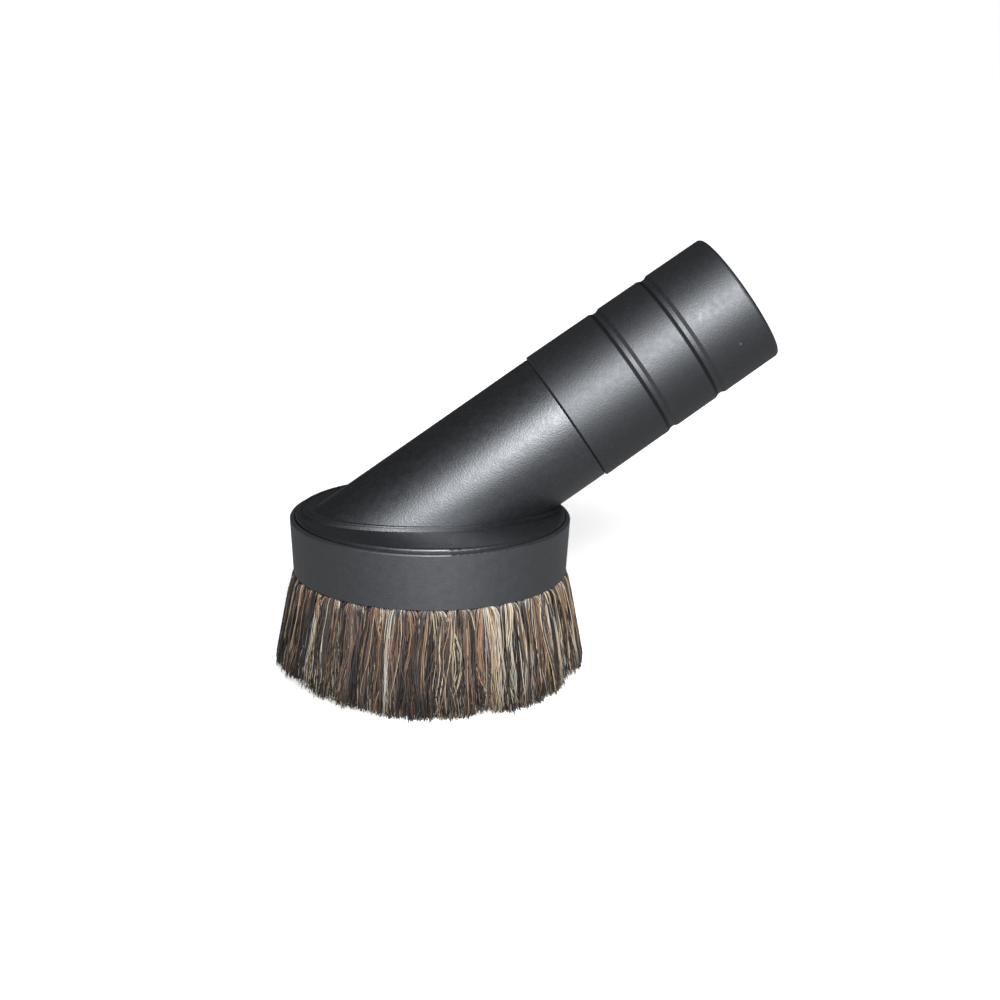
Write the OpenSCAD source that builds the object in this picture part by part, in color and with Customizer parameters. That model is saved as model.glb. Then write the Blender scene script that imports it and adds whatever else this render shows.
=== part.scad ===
// Round dusting brush for a vacuum cleaner wand.
// A hood with a slanted neck closes the top of a bristle ring, the ring holds two rows of
// stapled hair tufts, and a cuff on the neck takes the wand. Millimetres, +Z up. The origin
// is at the middle of the overall footprint, on the plane that the bristle tips stand on.

/* [Bristle ring] */
// Outer radius of the ring at its top
ring_r = 36.8; // [36:0.1:42]
// Height of the ring's outer wall
ring_h = 14.5; // [14:0.5:20]
// How far the outside draws in towards the bottom
ring_draft = 0.8; // [0.2:0.1:1.5]
// Radius of the rounded top edge
ring_edge = 0.6; // [0.3:0.1:0.8]
// Width of the lip that stands around the hood
lip_w = 1.05; // [1:0.05:1.4]
// Width of the ledge that carries the hood
ledge_w = 1.65; // [1.2:0.05:2]
// Radius of the open centre, where the air goes in
mouth_r = 24.5; // [20:0.5:25]
// Thickness of the board that the tufts are set in
board_t = 9; // [7.5:0.5:9.5]
// Radius that breaks the mouth's lower edge
mouth_edge = 1; // [0.4:0.1:1.4]

/* [Tufts] */
// Free length of the bristles below the ring
bristle_len = 28; // [20:1:40]
// Radius that the bristles spread to
flare_r = 40.8; // [39:0.1:44]
// Tufts in the outer row
outer_count = 32; // [26:1:32]
// Tufts in the inner row
inner_count = 24; // [18:1:24]
// Radius of the holes drilled for the tufts
hole_r = 1.9; // [1.7:0.05:2]
// Depth of the holes
hole_depth = 6.5; // [6:0.25:7]
// Plastic left between the outer row and the ring's outside
outer_web = 0.8; // [0.6:0.1:1]
// Plastic left between the inner row and the mouth
inner_web = 1.5; // [1:0.1:1.8]
// Outward lean of the outer row's holes, in degrees
outer_lean = 6; // [2:0.5:8]
// Outward lean of the inner row's holes, in degrees
inner_lean = 3; // [0:0.5:5]
// Radial depth of the outer row at the bristle tips
outer_spread = 5.8; // [4.5:0.1:6.5]
// Radial depth of the inner row at the bristle tips
inner_spread = 6.6; // [5:0.1:7.5]
// Gap between a shank of hair and its hole
shank_gap = 0.15; // [0.1:0.01:0.25]
// Gap between neighbouring tufts where they spread
tuft_gap = 0.3; // [0.2:0.05:0.6]
// How much shorter the widest hairs are than the rest
tip_round = 2.6; // [1:0.2:4]

/* [Anchors] */
// Thickness of the flat wire anchor
anchor_t = 0.4; // [0.3:0.05:0.6]
// Width of the wire, along the hole
anchor_w = 1.5; // [1:0.1:1.8]
// Thickness of the hair folded over the anchor
fold_t = 1; // [0.6:0.1:1.4]
// Gap left around the anchor
anchor_gap = 0.05; // [0.03:0.01:0.1]

/* [Hood] */
// Thickness of the hood's disc
disc_t = 2.4; // [2:0.1:3]
// How far the disc's face stands above the ring's lip
disc_proud = 0.7; // [0.3:0.1:1.2]
// Width of the open groove around the disc
groove_w = 0.45; // [0.3:0.05:0.6]
// Width of the raised bead at the disc's edge
bead_w = 1.3; // [0.9:0.1:1.6]
// Height of the bead above the disc's face
bead_h = 0.3; // [0.2:0.1:0.6]
// Depth of the skirt that centres the hood in the ring
skirt_h = 3; // [2:0.25:3.2]
// Wall of the skirt
skirt_t = 2; // [1.5:0.1:2.2]
// Gap between the skirt and the ring
skirt_gap = 0.15; // [0.1:0.01:0.25]

/* [Neck] */
// Angle of the neck above the disc, in degrees
neck_angle = 34.8; // [34:0.2:44]
// Where the neck's centre line meets the lip's plane, from the ring's axis
neck_x = -1.2; // [-1.6:0.1:0]
// Length of the neck from there to the seam with the cuff
neck_len = 44.8; // [40:0.1:60]
// Outer radius of the neck
neck_r = 18.1; // [17:0.1:18.2]
// Wall of the neck
neck_t = 2.4; // [2:0.1:3]
// Height of the flange around the neck's foot
foot_h = 1.1; // [0.6:0.1:1.6]
// How far the flange stands out from the neck
foot_w = 1.3; // [0.6:0.1:1.3]
// Length of the spigot inside the cuff
spigot_len = 10; // [6:0.5:14]
// Wall of the spigot
spigot_t = 1.3; // [1:0.1:1.5]

/* [Cuff] */
// Length of the cuff from the seam to its mouth
cuff_len = 54.9; // [50:0.1:80]
// Radius of the socket that the wand pushes into
socket_r = 16; // [15:0.1:16.2]
// Wall of the cuff at its mouth
mouth_wall = 2.15; // [1.6:0.05:2.6]
// How much the outside widens from the mouth to the seam
cuff_draft = 0.45; // [0.2:0.05:1]
// Gap between the spigot and the cuff
spigot_gap = 0.08; // [0.05:0.01:0.2]
// Chamfer on both edges of the seam
seam_edge = 0.3; // [0.1:0.05:0.4]
// Distance from the seam to the first grip band
band_start = 19.8; // [16:0.1:24]
// Distance from one grip band to the next
band_pitch = 15.1; // [6:0.1:22]
// Number of grip bands
band_count = 2; // [1:1:2]
// Width of a grip band
band_w = 3; // [1:0.1:4]
// Width of each sloped side of a grip band
band_side = 1; // [0.2:0.1:1.4]
// Depth of a grip band
band_depth = 0.45; // [0.2:0.05:0.6]
// Radius of the rounded outer edge of the mouth
mouth_round = 1.2; // [0.5:0.1:1.4]
// Chamfer that leads the wand in
lead_in = 0.6; // [0.2:0.1:1]

/* [Hidden] */
$fn = 96;
over = 1;                                       // overrun of every cut
plastic = "#3a3b3e";
cuff_plastic = "#343538";
wire = "#b9b3a4";
hair_colours = ["#4a3c30", "#6b5139", "#2e2a27", "#8a7a5e", "#57534d"];

z_board = bristle_len;                          // underside of the ring
z_board_top = z_board + board_t;
z_lip = z_board + ring_h;                       // top of the ring's lip
z_face = z_lip + disc_proud;                    // top face of the hood's disc
z_ledge = z_face - disc_t;                      // ledge that the disc sits on

ring_low_r = ring_r - ring_draft;
lip_in_r = ring_r - lip_w;
wall_in_r = lip_in_r - ledge_w;
disc_r = lip_in_r - groove_w;
skirt_r = wall_in_r - skirt_gap;

outer_row_r = ring_low_r - outer_web - hole_r;
inner_row_r = mouth_r + inner_web + hole_r;
shank_r = hole_r - shank_gap;

bore_r = neck_r - neck_t;
spigot_r = bore_r + spigot_t;
cuff_mouth_r = socket_r + mouth_wall;
cuff_seam_r = cuff_mouth_r + cuff_draft;
seat_r = spigot_r + spigot_gap;
tube_len = neck_len + cuff_len;

// Overall reach along X, which the origin is set from
reach_x = neck_x + (tube_len - mouth_round) * cos(neck_angle)
    + (cuff_mouth_r - mouth_round) * sin(neck_angle) + mouth_round;
origin_x = (flare_r - reach_x) / 2;

// A tuft's sections: share of the free length from the board down, and how far the
// hair has opened from a round shank to the full width of its place in the row
TUFT_LEVELS = [[0, 0], [0.1, 0.5], [0.35, 0.78], [0.7, 1]];
FLUTES = 7;
FLUTE_DEPTH = 0.22;
SIDES = 2 * FLUTES;

OUTER = [for (i = [1 : outer_count]) str("outer_tuft_", i < 10 ? "0" : "", i)];
INNER = [for (i = [1 : inner_count]) str("inner_tuft_", i < 10 ? "0" : "", i)];

// Values from a to b
function mix(a, b, t) = a + (b - a) * t;

// Places its children along the neck's centre line, with +Z towards the cuff's mouth
module on_neck(along = 0) {
    translate([neck_x, 0, z_lip]) rotate([0, 90 - neck_angle, 0]) translate([0, 0, along])
        children();
}

// Places its children on the axis of hole number i in a row, with +Z into the board
module on_hole(i, count, row_r, lean) {
    rotate([0, 0, (i - 0.5) * 360 / count]) translate([row_r, 0, z_board])
        rotate([0, -lean, 0]) children();
}

// The waste outside a rounded corner of radius r whose corner point is at the origin,
// with the material towards -X and -Y
module corner(r) {
    difference() {
        translate([-r, -r]) square(2 * r);
        translate([-r, -r]) circle(r);
    }
}

// Section of the ring: a drafted wall with a lip and ledge above, and the tuft board below
module ring_section() {
    difference() {
        polygon([
            [mouth_r, z_board], [ring_low_r, z_board], [ring_r, z_lip], [lip_in_r, z_lip],
            [lip_in_r, z_ledge], [wall_in_r, z_ledge], [wall_in_r, z_board_top],
            [mouth_r, z_board_top]
        ]);
        translate([ring_r, z_lip]) corner(ring_edge);
        translate([mouth_r, z_board]) rotate(180) corner(mouth_edge);
    }
}

// The holes of one row
module hole_row(count, row_r, lean) {
    for (i = [1 : count]) on_hole(i, count, row_r, lean)
        translate([0, 0, -over]) cylinder(r = hole_r, h = hole_depth + over);
}

module bristle_ring() {
    color(plastic) difference() {
        rotate_extrude() ring_section();
        hole_row(outer_count, outer_row_r, outer_lean);
        hole_row(inner_count, inner_row_r, inner_lean);
    }
}

// Section of the hood's disc, with the bead at its edge
module disc_section() {
    difference() {
        union() {
            translate([0, z_ledge]) square([disc_r, disc_t]);
            translate([disc_r - bead_w, z_ledge]) square([bead_w, disc_t + bead_h]);
        }
        translate([disc_r, z_face + bead_h]) corner(bead_w / 2);
    }
}

// The skirt below the disc, whole all round, that centres the hood in the ring
module skirt() {
    rotate_extrude() translate([skirt_r - skirt_t, z_ledge - skirt_h])
        square([skirt_t, skirt_h + disc_t / 4]);
}

// A slice of the neck's own cylinder that stands h above the disc's face
module foot(extra, h) {
    intersection() {
        on_neck(-tube_len) cylinder(r = neck_r + extra, h = 2 * tube_len);
        translate([0, 0, z_face - disc_t / 4]) cylinder(r = disc_r - bead_w, h = disc_t / 4 + h);
    }
}

// Section of the neck from far below the disc to the spigot's end, with the shoulder that
// stops the cuff
module neck_section() {
    polygon([
        [0, -neck_len], [neck_r, -neck_len], [neck_r, neck_len - seam_edge],
        [neck_r - seam_edge, neck_len], [spigot_r, neck_len], [spigot_r, neck_len + spigot_len],
        [0, neck_len + spigot_len]
    ]);
}

module hood() {
    color(plastic) {
        difference() {
            union() {
                rotate_extrude() disc_section();
                foot(foot_w, foot_h * 0.7);
                foot(foot_w * 0.7, foot_h);
                difference() {
                    on_neck() rotate_extrude() neck_section();
                    translate([-2 * tube_len, -2 * tube_len, z_ledge + disc_t / 3 - 4 * tube_len])
                        cube(4 * tube_len);
                }
            }
            on_neck(-tube_len) cylinder(r = bore_r, h = 3 * tube_len);
        }
        skirt();
    }
}

// Outer radius of the cuff at a distance from the seam
function cuff_r(d) = mix(cuff_seam_r, cuff_mouth_r, d / cuff_len);

// Outline of the outside of the cuff, with a slope down and up again at each grip band
function cuff_outline() = concat(
    [[cuff_r(0) - seam_edge, 0], [cuff_r(seam_edge), seam_edge]],
    [for (k = [0 : band_count - 1])
        let (a = band_start + k * band_pitch, b = a + band_side, d = a + band_w, c = d - band_side)
        each [
            [cuff_r(a), a], [cuff_r(b) - band_depth, b],
            [cuff_r(c) - band_depth, c], [cuff_r(d), d]
        ]],
    [[cuff_r(cuff_len), cuff_len]]
);

module cuff_section() {
    difference() {
        polygon(concat(cuff_outline(), [
            [socket_r + lead_in, cuff_len], [socket_r, cuff_len - lead_in],
            [socket_r, spigot_len + spigot_gap], [seat_r, spigot_len + spigot_gap], [seat_r, 0]
        ]));
        translate([cuff_mouth_r, cuff_len]) corner(mouth_round);
    }
}

module cuff() {
    color(cuff_plastic) on_neck(neck_len) rotate_extrude() cuff_section();
}

// The flat wire across a hole, grown by a gap on every side
module anchor_bar(gap) {
    half = sqrt(pow(hole_r - anchor_gap, 2) - pow(anchor_t / 2, 2));
    top = hole_depth - shank_gap - fold_t;
    translate([-anchor_t / 2 - gap, -half - gap, top - anchor_w - gap])
        cube([anchor_t + 2 * gap, 2 * (half + gap), anchor_w + 2 * gap]);
}

module tuft_anchors() {
    color(wire) {
        for (i = [1 : outer_count]) on_hole(i, outer_count, outer_row_r, outer_lean)
            anchor_bar(0);
        for (i = [1 : inner_count]) on_hole(i, inner_count, inner_row_r, inner_lean)
            anchor_bar(0);
    }
}

// Radius that parts the two rows at a share u of the free length
function row_split(u) = mix((outer_row_r + inner_row_r) / 2, flare_r - outer_spread, u);

// Point k of a full section, inside the wedge of the row between radii a and b:
// a rounded rectangle whose every other point is drawn in for a flute, by a share of its own
function wedge_point(k, count, a, b, lobes) =
    let (
        phi = (k + 0.5) * 360 / SIDES,
        flute = 1 - FLUTE_DEPTH * (k % 2 == 0 ? 0.3 : 1) * lobes[k],
        c = sign(cos(phi)) * pow(abs(cos(phi)), 0.7) * flute,
        s = sign(sin(phi)) * pow(abs(sin(phi)), 0.7) * flute,
        r = (a + b) / 2 + c * (b - a) / 2,
        turn = s * (180 / count - tuft_gap / 2 / a * 180 / PI)
    )
    [r * cos(turn), r * sin(turn)];

// Section of a tuft at height z, opened by a share s from its shank to its full wedge
function tuft_ring(s, z, count, row_r, a, b, lobes) = [
    for (k = [0 : SIDES - 1])
        let (
            phi = (k + 0.5) * 360 / SIDES,
            shank = [row_r + shank_r * cos(phi), shank_r * sin(phi)],
            full = wedge_point(k, count, a, b, lobes)
        )
        [mix(shank[0], full[0], s), mix(shank[1], full[1], s), z]
];

// End of the shank at the bottom of its hole, square to the hole
function shank_end(row_r, lean) = [
    for (k = [0 : SIDES - 1])
        let (
            phi = (k + 0.5) * 360 / SIDES,
            x = shank_r * cos(phi),
            h = hole_depth - shank_gap
        )
        [
            row_r + x * cos(lean) - h * sin(lean),
            shank_r * sin(phi),
            z_board + h * cos(lean) + x * sin(lean)
        ]
];

// Skin over a stack of rings, each with SIDES points, listed from the top down
module skin(rings) {
    count = len(rings);
    points = [for (ring = rings) each ring];
    sides = [for (j = [0 : count - 2], k = [0 : SIDES - 1])
        let (n = (k + 1) % SIDES) each [
            [j * SIDES + k, j * SIDES + n, (j + 1) * SIDES + n],
            [j * SIDES + k, (j + 1) * SIDES + n, (j + 1) * SIDES + k]
        ]];
    top = [for (k = [SIDES - 1 : -1 : 0]) k];
    bottom = [for (k = [0 : SIDES - 1]) (count - 1) * SIDES + k];
    polyhedron(points = points, faces = concat([top], sides, [bottom]));
}

// One stapled tuft: a round shank in its hole, slotted over its anchor, that opens into
// a fluted sheaf and is cut flat at the tips
module tuft(i, count, row_r, lean, is_outer) {
    widest = 1 - tip_round / bristle_len;
    lobes = rands(0.4, 1, SIDES, i + (is_outer ? 0 : outer_count));
    open = concat(TUFT_LEVELS, [[widest, 1]]);
    function inner_edge(u) = is_outer ? row_split(u) + tuft_gap / 2
        : row_split(u) - tuft_gap / 2 - mix(2 * shank_r, inner_spread, u);
    function outer_edge(u) = is_outer ? mix(ring_low_r, flare_r, u)
        : row_split(u) - tuft_gap / 2;
    function at(u, s, cut) =
        let (root = row_r + u * bristle_len * tan(lean), z = z_board - u * bristle_len)
        tuft_ring(s, z, count, root, inner_edge(u), outer_edge(u) - cut, lobes);
    rotate([0, 0, (i - 0.5) * 360 / count]) skin(concat(
        [shank_end(row_r, lean)],
        [for (level = open) at(level[0], level[1], 0)],
        [at(1, 1, is_outer ? tip_round * 0.8 : tip_round * 0.3)]
    ));
}

module slotted_tuft(i, count, row_r, lean, is_outer) {
    color(hair_colours[(i * 7 + (is_outer ? 0 : 3)) % len(hair_colours)]) difference() {
        tuft(i, count, row_r, lean, is_outer);
        on_hole(i, count, row_r, lean) anchor_bar(anchor_gap);
    }
}

module outer_tuft(i) {
    slotted_tuft(i, outer_count, outer_row_r, outer_lean, true);
}

module inner_tuft(i) {
    slotted_tuft(i, inner_count, inner_row_r, inner_lean, false);
}

translate([origin_x, 0, 0]) {
    hood();
    cuff();
    bristle_ring();
    tuft_anchors();
    for (i = [1 : outer_count]) outer_tuft(i);
    for (i = [1 : inner_count]) inner_tuft(i);
}
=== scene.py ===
# Round dusting brush for a vacuum cleaner wand: black moulded plastic and mixed horsehair.

import math
import bpy
import numpy as np
from mathutils import Matrix, Vector


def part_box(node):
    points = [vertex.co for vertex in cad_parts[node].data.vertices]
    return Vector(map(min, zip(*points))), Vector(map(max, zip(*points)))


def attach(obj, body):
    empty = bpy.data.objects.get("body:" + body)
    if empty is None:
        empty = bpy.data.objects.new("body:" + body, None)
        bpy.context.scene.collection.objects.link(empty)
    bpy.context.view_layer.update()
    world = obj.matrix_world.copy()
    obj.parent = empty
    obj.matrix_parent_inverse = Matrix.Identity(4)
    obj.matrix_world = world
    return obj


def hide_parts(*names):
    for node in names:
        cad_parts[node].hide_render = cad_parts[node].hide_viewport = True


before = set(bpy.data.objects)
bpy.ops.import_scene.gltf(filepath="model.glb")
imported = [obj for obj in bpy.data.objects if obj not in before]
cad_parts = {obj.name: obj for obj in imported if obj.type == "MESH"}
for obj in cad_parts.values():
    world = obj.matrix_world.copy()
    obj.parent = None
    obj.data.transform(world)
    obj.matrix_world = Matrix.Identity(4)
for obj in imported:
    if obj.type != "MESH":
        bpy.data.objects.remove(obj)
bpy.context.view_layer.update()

# The studio: one soft lamp beside the camera, weak ones above and behind, and a white floor.
# The camera stands where the photograph was taken from, about 45 cm away and a little above
# the object, with the neck turned slightly away from it. Camera and lamps are placed in a
# frame of their own, whose origin is at the top of the bristle ring, on its axis.
MM = 0.001
ring_low, ring_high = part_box("bristle_ring")
AXIS_X = (ring_low[0] + ring_high[0]) / 2
RING_TOP = ring_high[2]
RING_BOTTOM = ring_low[2]

NECK_TURN = math.radians(8.32)
STUDIO = Matrix.Translation((AXIS_X, 0, RING_TOP)) @ Matrix.Rotation(-NECK_TURN, 4, "Z")
CAMERA_PLACE = Vector((18.25, -437.07, 123.88)) * MM
CAMERA_PITCH = math.radians(15.336)
CAMERA_ROLL = math.radians(0.891)
FOCAL_PX = 1726.4
FRAME_PX = 1000.0


def camera_matrix():
    """The camera's place and its right, up and backward directions."""
    look = Vector((0.0, math.cos(CAMERA_PITCH), -math.sin(CAMERA_PITCH)))
    level = look.cross(Vector((0.0, 0.0, 1.0))).normalized()
    above = level.cross(look)
    right = math.cos(CAMERA_ROLL) * level + math.sin(CAMERA_ROLL) * above
    up = math.cos(CAMERA_ROLL) * above - math.sin(CAMERA_ROLL) * level
    turn = Matrix((right, up, -look)).transposed().to_4x4()
    return STUDIO @ Matrix.Translation(CAMERA_PLACE) @ turn


scene = bpy.context.scene
scene.view_settings.view_transform = "Standard"
camera_data = bpy.data.cameras.new("camera")
camera_data.sensor_width = 36.0
camera_data.lens = camera_data.sensor_width * FOCAL_PX / FRAME_PX
camera_data.clip_start = 0.01
camera = bpy.data.objects.new("camera", camera_data)
camera.matrix_world = camera_matrix()
scene.collection.objects.link(camera)
scene.camera = camera


def linear(hex_colour):
    """An sRGB colour such as #2b2c2f as linear red, green, blue and alpha."""
    values = [int(hex_colour[i:i + 2], 16) / 255 for i in (1, 3, 5)]
    return tuple(v / 12.92 if v <= 0.04045 else ((v + 0.055) / 1.055) ** 2.4 for v in values) + (1.0,)


def add_node(tree, kind, settings=None, **inputs):
    """Adds a node, sets its properties, and sets or links its inputs by name."""
    new = tree.nodes.new(kind)
    for name, value in (settings or {}).items():
        setattr(new, name, value)
    for name, value in inputs.items():
        socket = new.inputs[int(name[1:])] if name[1:].isdigit() else new.inputs[name.replace("_", " ")]
        if isinstance(value, bpy.types.NodeSocket):
            tree.links.new(value, socket)
        else:
            socket.default_value = value
    return new


def new_material(name):
    """An empty node material and its output."""
    material = bpy.data.materials.new(name)
    material.use_nodes = True
    tree = material.node_tree
    tree.nodes.clear()
    return material, tree, tree.nodes.new("ShaderNodeOutputMaterial")


LAMP_TARGET = Vector((25, 0, 12)) * MM


def soft_lamp(name, turn, height, distance, size, radiance):
    """A square lamp at angles round and above the object, in degrees, that faces it."""
    turn, height = math.radians(turn), math.radians(height)
    level = distance * math.cos(height)
    place = LAMP_TARGET + Vector((level * math.sin(turn), -level * math.cos(turn),
                                  distance * math.sin(height)))
    data = bpy.data.lights.new(name, "AREA")
    data.shape = "SQUARE"
    data.size = size
    data.energy = radiance * math.pi * size ** 2
    lamp = bpy.data.objects.new(name, data)
    facing = (LAMP_TARGET - place).to_track_quat("-Z", "Y").to_matrix().to_4x4()
    lamp.matrix_world = STUDIO @ Matrix.Translation(place) @ facing
    scene.collection.objects.link(lamp)


soft_lamp("front_lamp", turn=7.3, height=28.0, distance=0.62, size=0.30, radiance=42.0)
soft_lamp("top_lamp", turn=0.0, height=80.0, distance=0.75, size=0.50, radiance=0.12)
soft_lamp("back_lamp", turn=200.0, height=35.0, distance=0.80, size=0.40, radiance=0.08)

world = bpy.data.worlds.new("studio")
world.use_nodes = True
scene.world = world
sky = world.node_tree
sky.nodes.clear()
sky_rays = add_node(sky, "ShaderNodeLightPath")
room_light = add_node(sky, "ShaderNodeBackground", Color=linear("#d9dbe0"), Strength=0.04)
white_wall = add_node(sky, "ShaderNodeBackground", Color=(1, 1, 1, 1), Strength=1.0)
seen = add_node(sky, "ShaderNodeMixShader", _0=sky_rays.outputs["Is Camera Ray"],
                _1=room_light.outputs[0], _2=white_wall.outputs[0])
add_node(sky, "ShaderNodeOutputWorld", Surface=seen.outputs[0])

floor_mesh = bpy.data.meshes.new("floor")
FLOOR_HALF = 3.0
floor_corners = [(x * FLOOR_HALF, y * FLOOR_HALF, 0) for x, y in ((-1, -1), (1, -1), (1, 1), (-1, 1))]
floor_mesh.from_pydata(floor_corners, [], [(0, 1, 2, 3)])
floor = bpy.data.objects.new("floor", floor_mesh)
scene.collection.objects.link(floor)
floor_paint, tree, output = new_material("white_floor")
rays = add_node(tree, "ShaderNodeLightPath")
plain = add_node(tree, "ShaderNodeBsdfDiffuse", Color=linear("#e6e6e6"))
# Close to the object the floor glows in part and the lamps do the rest, so that the shadow
# shows. Further away it glows by itself, so that it has no visible edge.
where = add_node(tree, "ShaderNodeTexCoord").outputs["Object"]
reach = add_node(tree, "ShaderNodeVectorMath", {"operation": "LENGTH"}, _0=where)
GLOW_FROM, GLOW_FULL = 0.10, 0.35
GLOW_NEAR = 0.55
glow_share = add_node(tree, "ShaderNodeMapRange", {"interpolation_type": "SMOOTHSTEP"},
                      _0=reach.outputs["Value"], _1=GLOW_FROM, _2=GLOW_FULL, _3=GLOW_NEAR, _4=1.0)
lit = add_node(tree, "ShaderNodeBsdfDiffuse", Color=linear("#f4f4f4"))
glow = add_node(tree, "ShaderNodeEmission", Color=(1, 1, 1, 1), Strength=glow_share.outputs[0])
white = add_node(tree, "ShaderNodeAddShader", _0=lit.outputs[0], _1=glow.outputs[0])
MIRRORED_FLOOR = 0.42
mirrored = add_node(tree, "ShaderNodeEmission", Color=(1, 1, 1, 1), Strength=MIRRORED_FLOOR)
gloss_rays = add_node(tree, "ShaderNodeMixShader", _0=rays.outputs["Is Glossy Ray"],
                      _1=plain.outputs[0], _2=mirrored.outputs[0])
shown = add_node(tree, "ShaderNodeMixShader", _0=rays.outputs["Is Camera Ray"],
                 _1=gloss_rays.outputs[0], _2=white.outputs[0])
tree.links.new(shown.outputs[0], output.inputs["Surface"])
floor_mesh.materials.append(floor_paint)


# Hood: the disc and its slanted neck, moulded in one piece of charcoal ABS. The mould was
# lightly spark-eroded, which leaves a satin skin with a fine soft mottle in its highlights.
PLASTIC_IOR = 1.55
COOL_GLOSS = "#f3f8ff"
CLOUD_LOW, CLOUD_HIGH = 0.3, 0.7
DARK_CLOUD, PALE_CLOUD = 0.86, 1.12


def moulded_plastic(name, colour, gleam, roughness, mottle_mm, mottle, grain_mm, grain_depth_mm):
    """Satin moulded plastic: a soft mottle in gloss and tone over a fine surface grain."""
    material, tree, output = new_material(name)
    place = add_node(tree, "ShaderNodeTexCoord").outputs["Object"]
    cloud = add_node(tree, "ShaderNodeTexNoise", Vector=place, Scale=1 / (mottle_mm * MM),
                     Detail=3.0, Roughness=0.6)
    fine = add_node(tree, "ShaderNodeTexNoise", Vector=place, Scale=1 / (grain_mm * MM),
                    Detail=2.0, Roughness=0.5)
    gloss = add_node(tree, "ShaderNodeMapRange", _0=cloud.outputs["Fac"], _1=CLOUD_LOW, _2=CLOUD_HIGH,
                     _3=roughness - mottle, _4=roughness + mottle)
    base = linear(colour)
    dark = tuple(DARK_CLOUD * v for v in base[:3]) + (1,)
    pale = tuple(PALE_CLOUD * v for v in base[:3]) + (1,)
    tone = add_node(tree, "ShaderNodeMix", {"data_type": "RGBA"}, _0=cloud.outputs["Fac"],
                    _6=dark, _7=pale)
    skin = add_node(tree, "ShaderNodeBump", Strength=1.0, Distance=grain_depth_mm * MM,
                    Height=fine.outputs["Fac"])
    shader = add_node(tree, "ShaderNodeBsdfPrincipled", Base_Color=tone.outputs[2],
                      Roughness=gloss.outputs[0], IOR=PLASTIC_IOR, Specular_IOR_Level=gleam,
                      Specular_Tint=linear(COOL_GLOSS), Normal=skin.outputs[0])
    tree.links.new(shader.outputs[0], output.inputs["Surface"])
    return material


def dress(node, material):
    """Gives a CAD node one material in all of its slots."""
    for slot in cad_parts[node].material_slots:
        slot.material = material


satin_abs = moulded_plastic("satin_abs", "#0d0e10", gleam=0.8, roughness=0.45, mottle_mm=1.8,
                            mottle=0.04, grain_mm=0.45, grain_depth_mm=0.045)
dress("hood", satin_abs)

# Bristle ring: the drafted outer ring and tuft board, moulded in charcoal polypropylene, a
# little greyer and duller than the hood that is set into it.
satin_polypropylene = moulded_plastic("satin_polypropylene", "#0e0f11", gleam=1.0, roughness=0.56,
                                      mottle_mm=1.8, mottle=0.04, grain_mm=0.5, grain_depth_mm=0.035)
dress("bristle_ring", satin_polypropylene)

# Cuff: the sleeve that takes the wand, moulded in the same charcoal ABS with a duller satin
# skin, and pushed onto the neck's spigot until it meets the shoulder.
CUFF_GLEAM = 0.69
cuff_abs = moulded_plastic("cuff_abs", "#0b0c0e", gleam=CUFF_GLEAM, roughness=0.54, mottle_mm=1.5,
                           mottle=0.03, grain_mm=0.45, grain_depth_mm=0.045)
tree = cuff_abs.node_tree
cuff_skin = next(n for n in tree.nodes if n.type == "BSDF_PRINCIPLED")
tone = cuff_skin.inputs["Base Color"].links[0].from_socket
place = add_node(tree, "ShaderNodeTexCoord").outputs["Object"]

# Each grip band has a steep side towards the seam, whose corner holds no light. It is drawn
# as a dark line at that corner's distance along the neck.
NECK_FOOT = (AXIS_X - 1.2 * MM, 0, RING_TOP)
NECK_ANGLE = math.radians(34.8)
NECK_AXIS = (math.cos(NECK_ANGLE), 0, math.sin(NECK_ANGLE))
BAND_CORNERS = (65.0 * MM, 80.1 * MM)
CORNER_HALF = 0.35 * MM
CORNER_FADE = 0.65 * MM
CORNER_DARK = 0.22
from_foot = add_node(tree, "ShaderNodeVectorMath", {"operation": "SUBTRACT"}, _0=place, _1=NECK_FOOT)
along = add_node(tree, "ShaderNodeVectorMath", {"operation": "DOT_PRODUCT"},
                 _0=from_foot.outputs[0], _1=NECK_AXIS).outputs["Value"]
lit_share = 1.0
for corner in BAND_CORNERS:
    past_corner = add_node(tree, "ShaderNodeMath", {"operation": "SUBTRACT"}, _0=along, _1=corner)
    away = add_node(tree, "ShaderNodeMath", {"operation": "ABSOLUTE"}, _0=past_corner.outputs[0])
    light = add_node(tree, "ShaderNodeMapRange", _0=away.outputs[0], _1=CORNER_HALF, _2=CORNER_FADE,
                     _3=CORNER_DARK, _4=1.0)
    lit_share = add_node(tree, "ShaderNodeMath", {"operation": "MULTIPLY"},
                         _0=light.outputs[0], _1=lit_share).outputs[0]
gleam = add_node(tree, "ShaderNodeMath", {"operation": "MULTIPLY"}, _0=lit_share, _1=CUFF_GLEAM)
tree.links.new(gleam.outputs[0], cuff_skin.inputs["Specular IOR Level"])

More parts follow.
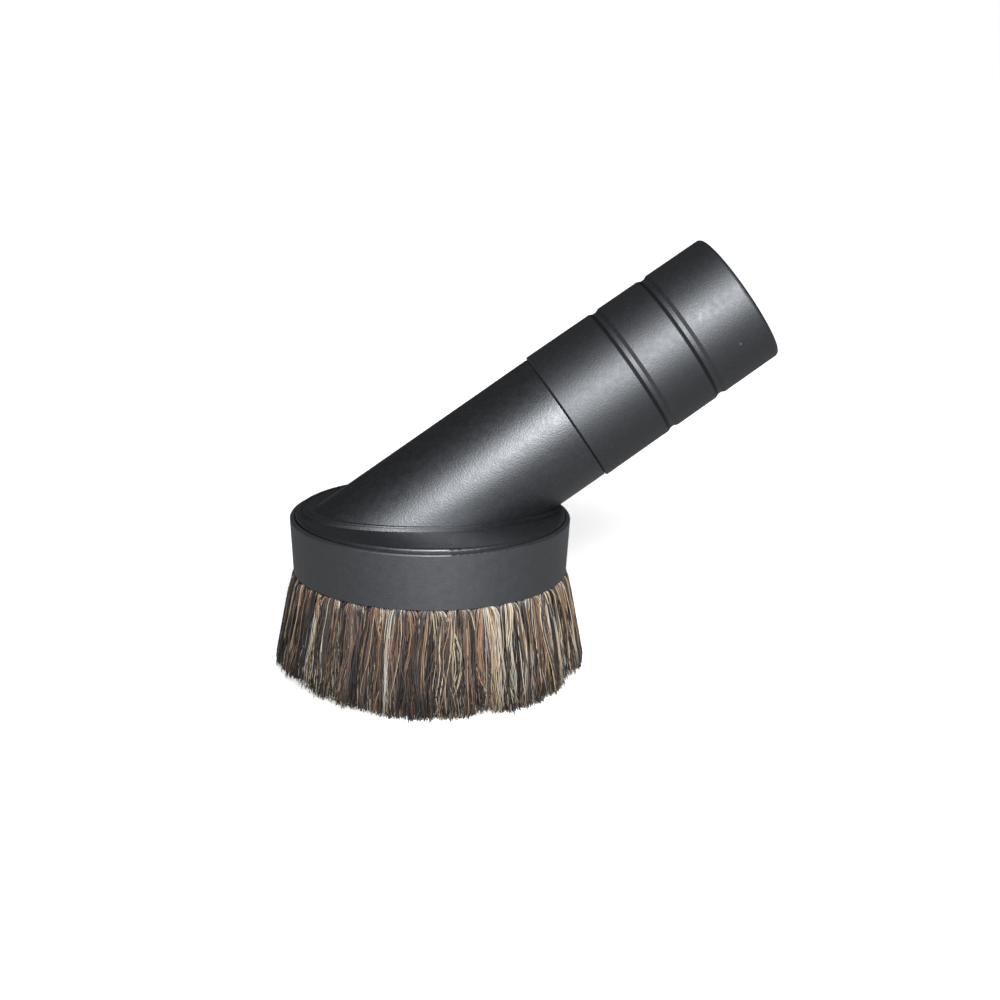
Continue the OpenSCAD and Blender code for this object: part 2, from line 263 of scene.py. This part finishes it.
# Small pale scuffs near the mouth, where the wand knocks as it is pushed in. Each has a
# middle and a radius, in mm.
SCUFFS = (((40.5, -16.9, 97.4), 3.4), ((51.6, -17.4, 89.8), 0.9))
SCUFF_PALE = "#3c3e42"
SCUFF_CORE = 0.4
FLECK_MM = 1.1
FLECK_LOW, FLECK_HIGH = 0.44, 0.66
flecks = add_node(tree, "ShaderNodeTexNoise", Vector=place, Scale=1 / (FLECK_MM * MM),
                  Detail=3.0, Roughness=0.6)
worn = add_node(tree, "ShaderNodeMapRange", _0=flecks.outputs["Fac"], _1=FLECK_LOW, _2=FLECK_HIGH,
                _3=0.0, _4=1.0)
for middle, radius in SCUFFS:
    apart = add_node(tree, "ShaderNodeVectorMath", {"operation": "DISTANCE"}, _0=place,
                     _1=Vector(middle) * MM)
    near = add_node(tree, "ShaderNodeMapRange", _0=apart.outputs["Value"],
                    _1=SCUFF_CORE * radius * MM, _2=radius * MM, _3=1.0, _4=0.0)
    share = add_node(tree, "ShaderNodeMath", {"operation": "MULTIPLY"}, _0=near.outputs[0],
                     _1=worn.outputs[0])
    tone = add_node(tree, "ShaderNodeMix", {"data_type": "RGBA"}, _0=share.outputs[0], _6=tone,
                    _7=linear(SCUFF_PALE)).outputs[2]
tree.links.new(tone, cuff_skin.inputs["Base Color"])
dress("cuff", cuff_abs)

# Anchors: short pieces of flat drawn wire that hold the folded hair in the holes. Drawing
# leaves the steel bright, with fine lines that are drawn here about a millimetre apart,
# because real ones are too fine to show.
BRIGHT_WIRE, DULL_WIRE = 0.25, 0.45
LINES_PER_MM = 0.9
wire, tree, output = new_material("drawn_wire")
streaks = add_node(tree, "ShaderNodeTexNoise", Scale=LINES_PER_MM / MM, Detail=2.0)
shine = add_node(tree, "ShaderNodeMapRange", _0=streaks.outputs["Fac"], _3=BRIGHT_WIRE, _4=DULL_WIRE)
steel = add_node(tree, "ShaderNodeBsdfPrincipled", Base_Color=linear("#b7b2a6"), Metallic=1.0,
                 Roughness=shine.outputs[0])
tree.links.new(steel.outputs[0], output.inputs["Surface"])
dress("tuft_anchors", wire)


# Tufts: bundles of mixed natural horsehair, folded in half and stapled into the holes, from
# cream through tan and brown to near black, in locks of like tone. The smooth shafts give a
# soft sheen. Each tuft is one mesh of closed three-sided hairs, thicker than real hair so
# that they show at this distance.
HAIR_TONES = (
    (0.00, "#171514"), (0.24, "#242020"), (0.42, "#38322f"), (0.55, "#4f4036"),
    (0.66, "#71523e"), (0.75, "#7f684f"), (0.84, "#8b8069"), (0.93, "#a39b85"), (1.00, "#83817f"),
)
HAIR_R = 0.12 * MM
HAIR_SIDES = 3
HOLE_R = 1.75 * MM
FREE_LENGTH = RING_BOTTOM
# Where a hair's centre line has its points, as shares of the free length below the ring
HAIR_LEVELS = np.array([-0.09, 0.0, 0.012, 0.035, 0.09, 0.24, 0.40, 0.56, 0.70, 0.84, 1.0])
# A tuft opens to its full width just below its hole, and its round section turns nearly
# square there. At 0.71 it would be quite square, and at 1 it would stay round.
OPENING = 45
SQUARING = 0.75
# Locks: hairs in each, and how far its hairs lie from its middle and differ in tone
LOCK_SIZE = 8
LOCK_SPREAD = 0.12
LOCK_VARIES = 0.10
# One lock in five is pale and the others are darker, and some hairs have a tone of their own
DARK_LOCKS = 0.80
DARK_TONES = 0.78
PALE_TONE = 0.74
ODD_HAIRS = 0.30
# How far hairs wander from straight: a lock's bend, a hair's own, its curl, and the strays
LOCK_BEND = 0.75 * MM
OWN_BEND = 0.30 * MM
CURL = 0.50 * MM
STRAY_HAIRS = 0.07
STRAY_GAIN = 5.0
# Hairs keep inside the row's outside but for a little, and their tips stop just off the floor
SPILL = 0.2 * MM
TIP_CLEAR = 1.3 * HAIR_R
TIP_LIFT = 0.4 * MM
# From here outwards, as a share of a tuft's half width, hairs are shorter towards the outside
ROUND_FROM = 0.2
# Use has worn the tips unevenly: how much shorter they are, in mm, at angles round the ring
WORN = np.array([(-186, 1.0), (-163, 2.4), (-155, 3.6), (-148, 2.4), (-142, 1.6), (-127, 1.2),
                 (-116, 0.6), (-106, 0.0), (-84, 0.0), (-76, 1.4), (-71, 1.0), (-66, 0.0),
                 (-46, 0.0), (-38, 1.0), (-30, 2.8), (-21, 2.6), (-6, 1.4), (34, 0.8), (84, 0.5),
                 (134, 0.8)])
# Hair darkens from a fifth of its length to the tips, and it shades as part of the whole brush
SHADE_FROM = 0.2
TIP_SHADE = 0.62
BRUSH_SHARE = 0.8


def horsehair():
    """Each hair carries its tone, its share of length and a random value as a vertex colour."""
    material, tree, output = new_material("mixed_horsehair")
    strand = add_node(tree, "ShaderNodeAttribute", {"attribute_name": "strand"})
    parts = add_node(tree, "ShaderNodeSeparateColor", Color=strand.outputs["Color"])
    tones = add_node(tree, "ShaderNodeValToRGB", Fac=parts.outputs[0])
    ramp = tones.color_ramp
    while len(ramp.elements) < len(HAIR_TONES):
        ramp.elements.new(0.5)
    for stop, (position, colour) in zip(ramp.elements, HAIR_TONES):
        stop.position = position
        stop.color = linear(colour)
    darker = add_node(tree, "ShaderNodeMapRange", _0=parts.outputs[1], _1=SHADE_FROM, _2=1.0,
                      _3=1.0, _4=TIP_SHADE)
    faded = add_node(tree, "ShaderNodeVectorMath", {"operation": "SCALE"}, _0=tones.outputs[0],
                     Scale=darker.outputs[0])
    # Packed hairs shade each other, so each is lit partly as the outside of the whole brush is
    place = add_node(tree, "ShaderNodeTexCoord").outputs["Object"]
    from_axis = add_node(tree, "ShaderNodeVectorMath", {"operation": "SUBTRACT"}, _0=place,
                         _1=(AXIS_X, 0, 0))
    level = add_node(tree, "ShaderNodeVectorMath", {"operation": "MULTIPLY"},
                     _0=from_axis.outputs[0], _1=(1, 1, 0))
    outward = add_node(tree, "ShaderNodeVectorMath", {"operation": "NORMALIZE"}, _0=level.outputs[0])
    own = add_node(tree, "ShaderNodeNewGeometry").outputs["Normal"]
    brush_part = add_node(tree, "ShaderNodeVectorMath", {"operation": "SCALE"},
                          _0=outward.outputs[0], Scale=BRUSH_SHARE)
    both = add_node(tree, "ShaderNodeVectorMath", {"operation": "ADD"}, _0=own,
                    _1=brush_part.outputs[0])
    facing = add_node(tree, "ShaderNodeVectorMath", {"operation": "NORMALIZE"}, _0=both.outputs[0])
    shader = add_node(tree, "ShaderNodeBsdfPrincipled", Base_Color=faded.outputs[0],
                      Roughness=0.38, IOR=1.55, Normal=facing.outputs[0])
    tree.links.new(shader.outputs[0], output.inputs["Surface"])
    return material


def sheaf(rng, angle, half_turn, root_r, tip_in, tip_out, board_out, round_off, hairs):
    """Centre lines and colours of one tuft's hairs, in metres, around the ring's axis."""
    # Each hair has a place in the round hole, near the middle of its lock
    locks = max(3, hairs // LOCK_SIZE)
    lock_r = np.sqrt(rng.random(locks))
    lock_a = rng.random(locks) * 2 * np.pi
    lock_x, lock_y = lock_r * np.cos(lock_a), lock_r * np.sin(lock_a)
    tone = rng.beta(1.3, 1.5, locks)
    bright = rng.random(locks)
    pale = PALE_TONE + (1 - PALE_TONE) * rng.random(locks)
    tone = np.where(bright > DARK_LOCKS, pale, tone * DARK_TONES)
    owner = rng.integers(0, locks, hairs)
    x = lock_x[owner] + LOCK_SPREAD * rng.normal(size=hairs)
    y = lock_y[owner] + LOCK_SPREAD * rng.normal(size=hairs)
    far = np.maximum(1.0, np.hypot(x, y))
    x, y = x / far, y / far
    hair_tone = np.clip(tone[owner] + LOCK_VARIES * rng.normal(size=hairs), 0, 1)
    odd = rng.random(hairs) < ODD_HAIRS
    hair_tone = np.where(odd, rng.random(hairs) ** 1.3, hair_tone)

    # Below the hole the round bundle opens into its share of the row, a wedge
    level = HAIR_LEVELS[None, :]
    below = np.clip(level, 0, 1)
    opened = 1 - (1 - below) ** OPENING
    square = np.maximum(np.abs(x), np.abs(y)) / np.maximum(1e-6, np.hypot(x, y))
    squared = np.maximum(square, SQUARING)
    out_place = np.clip(x / squared, -1, 1)[:, None]
    turn_place = np.clip(y / squared, -1, 1)[:, None]
    inner = root_r - HOLE_R + (tip_in - root_r + HOLE_R) * below
    outer = board_out + (tip_out - board_out) * below
    full_r = (inner + outer) / 2 + out_place * (outer - inner) / 2
    full_turn = turn_place * half_turn
    hole_r = root_r + HOLE_R * x[:, None]
    hole_turn = HOLE_R * y[:, None] / root_r
    radius = hole_r + (full_r - hole_r) * opened
    turn = hole_turn + (full_turn - hole_turn) * opened

    # A lock sways as one, and each hair has a bend and a curl of its own
    bend = LOCK_BEND * rng.normal(size=(locks, 2))[owner]
    stray = np.where(rng.random(hairs) < STRAY_HAIRS, STRAY_GAIN, 1.0)[:, None]
    own = OWN_BEND * rng.normal(size=(hairs, 2)) * stray
    curl = CURL * rng.normal(size=(hairs, 2)) * np.sqrt(stray)
    twist = 2 * np.pi * rng.random((hairs, 2))
    phase = rng.random((locks, 2))[owner] * 2 * np.pi
    sway = np.sin(phase[:, :1] + 4.6 * below) - np.sin(phase[:, :1])
    sway_round = np.sin(phase[:, 1:] + 5.0 * below) - np.sin(phase[:, 1:])
    wave = (np.sin(twist[:, :1] + 10.0 * below) - np.sin(twist[:, :1])) * below
    wave_round = (np.sin(twist[:, 1:] + 11.0 * below) - np.sin(twist[:, 1:])) * below
    radius = radius + (bend[:, :1] * sway + own[:, :1] * below ** 2 + curl[:, :1] * wave)
    slip = (bend[:, 1:] * sway_round + own[:, 1:] * below ** 2 + curl[:, 1:] * wave_round)
    radius = np.minimum(radius, outer + SPILL)
    turn = turn + slip / radius

    # The tips are uneven, rounded off towards the outside, and worn
    lift = TIP_LIFT * rng.random(hairs) ** 1.6
    edge = np.clip((out_place[:, 0] - ROUND_FROM) / (1 - ROUND_FROM), 0, 1)
    lift = lift + round_off * edge ** 1.5
    tip_angle = np.degrees(angle + turn[:, -1])
    lift = lift + MM * np.interp(tip_angle, WORN[:, 0], WORN[:, 1], period=360)
    length = FREE_LENGTH - lift - TIP_CLEAR
    z = RING_BOTTOM - level * length[:, None]
    round_axis = angle + turn
    points = np.stack([AXIS_X + radius * np.cos(round_axis), radius * np.sin(round_axis), z], axis=2)
    colour = np.stack([hair_tone, rng.random(hairs)], axis=1)
    return points, np.broadcast_to(below, z.shape), colour


def hair_mesh(name, points, along, colour, thickness):
    """Closed three-sided hairs round the given centre lines, as one mesh."""
    count, steps, _ = points.shape
    way = np.gradient(points, axis=1)
    way /= np.linalg.norm(way, axis=2, keepdims=True)
    side = np.cross(way, np.array([0.0, 1.0, 0.0]))
    side /= np.linalg.norm(side, axis=2, keepdims=True)
    other = np.cross(way, side)
    taper = np.interp(along, [0, 0.8, 1], [1, 1, 0.75])
    radius = (thickness[:, None] * taper)[..., None]
    spin = (2 * np.pi * colour[:, 1])[:, None, None]
    rings = []
    for k in range(HAIR_SIDES):
        phi = spin + 2 * np.pi * k / HAIR_SIDES
        rings.append(points + radius * (np.cos(phi) * side + np.sin(phi) * other))
    verts = np.stack(rings, axis=2).reshape(-1, 3)
    base = (np.arange(count) * steps * HAIR_SIDES)[:, None, None]
    row = (np.arange(steps - 1) * HAIR_SIDES)[None, :, None]
    k = np.arange(HAIR_SIDES)[None, None, :]
    n = (k + 1) % HAIR_SIDES
    quads = np.stack([base + row + k, base + row + HAIR_SIDES + k,
                      base + row + HAIR_SIDES + n, base + row + n], axis=3).reshape(-1, 4)
    first = base[:, 0] + np.arange(HAIR_SIDES)
    last = (base[:, 0] + (steps - 1) * HAIR_SIDES) + np.arange(HAIR_SIDES)[::-1]
    caps = np.concatenate([first, last])
    loops = np.concatenate([quads.ravel(), caps.ravel()])
    sizes = np.concatenate([np.full(len(quads), 4), np.full(len(caps), 3)])
    mesh = bpy.data.meshes.new(name)
    mesh.vertices.add(len(verts))
    mesh.vertices.foreach_set("co", verts.ravel())
    mesh.loops.add(len(loops))
    mesh.loops.foreach_set("vertex_index", loops)
    mesh.polygons.add(len(sizes))
    mesh.polygons.foreach_set("loop_start", np.concatenate([[0], np.cumsum(sizes)[:-1]]))
    mesh.update(calc_edges=True)
    mesh.validate()
    mesh.shade_smooth()
    strand = mesh.color_attributes.new("strand", "FLOAT_COLOR", "POINT")
    tone = np.repeat(colour[:, 0], steps * HAIR_SIDES)
    share = np.repeat(along.ravel(), HAIR_SIDES)
    chance = np.repeat(colour[:, 1], steps * HAIR_SIDES)
    values = np.stack([tone, share, chance, np.ones_like(tone)], axis=1)
    strand.data.foreach_set("color", values.ravel())
    return mesh


hair = horsehair()


def add_tuft(node, seed, angle, half_turn, row_sizes, hairs):
    """Replaces one CAD tuft with its hairs."""
    rng = np.random.default_rng(seed)
    points, along, colour = sheaf(rng, angle, half_turn, *row_sizes, hairs)
    thickness = HAIR_R * rng.uniform(0.75, 1.25, hairs)
    name = node + "_hair"
    piece = bpy.data.objects.new(name, hair_mesh(name, points, along, colour, thickness))
    scene.collection.objects.link(piece)
    piece.data.materials.append(hair)
    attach(piece, "root")
    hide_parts(node)


# Each row's radius at the holes, at its inside and outside at the tips and at its outside below
# the ring, how much shorter its outermost hairs are, and how many hairs a tuft has
SPLIT_TIP = 35.0 * MM
OUTER_ROW = (33.3 * MM, SPLIT_TIP, 40.8 * MM, 36.2 * MM, 2.6 * MM)
INNER_ROW = (27.9 * MM, 28.2 * MM, SPLIT_TIP, 30.4 * MM, 0.5 * MM)
ROWS = (("outer", 0, OUTER_ROW, 290), ("inner", 1000, INNER_ROW, 200))
for row, first_seed, row_sizes, hairs in ROWS:
    names = sorted(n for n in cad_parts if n.startswith(row + "_tuft_"))
    half_turn = math.pi / len(names)
    for i, node in enumerate(names):
        add_tuft(node, first_seed + i, (2 * i + 1) * half_turn, half_turn, row_sizes, hairs)
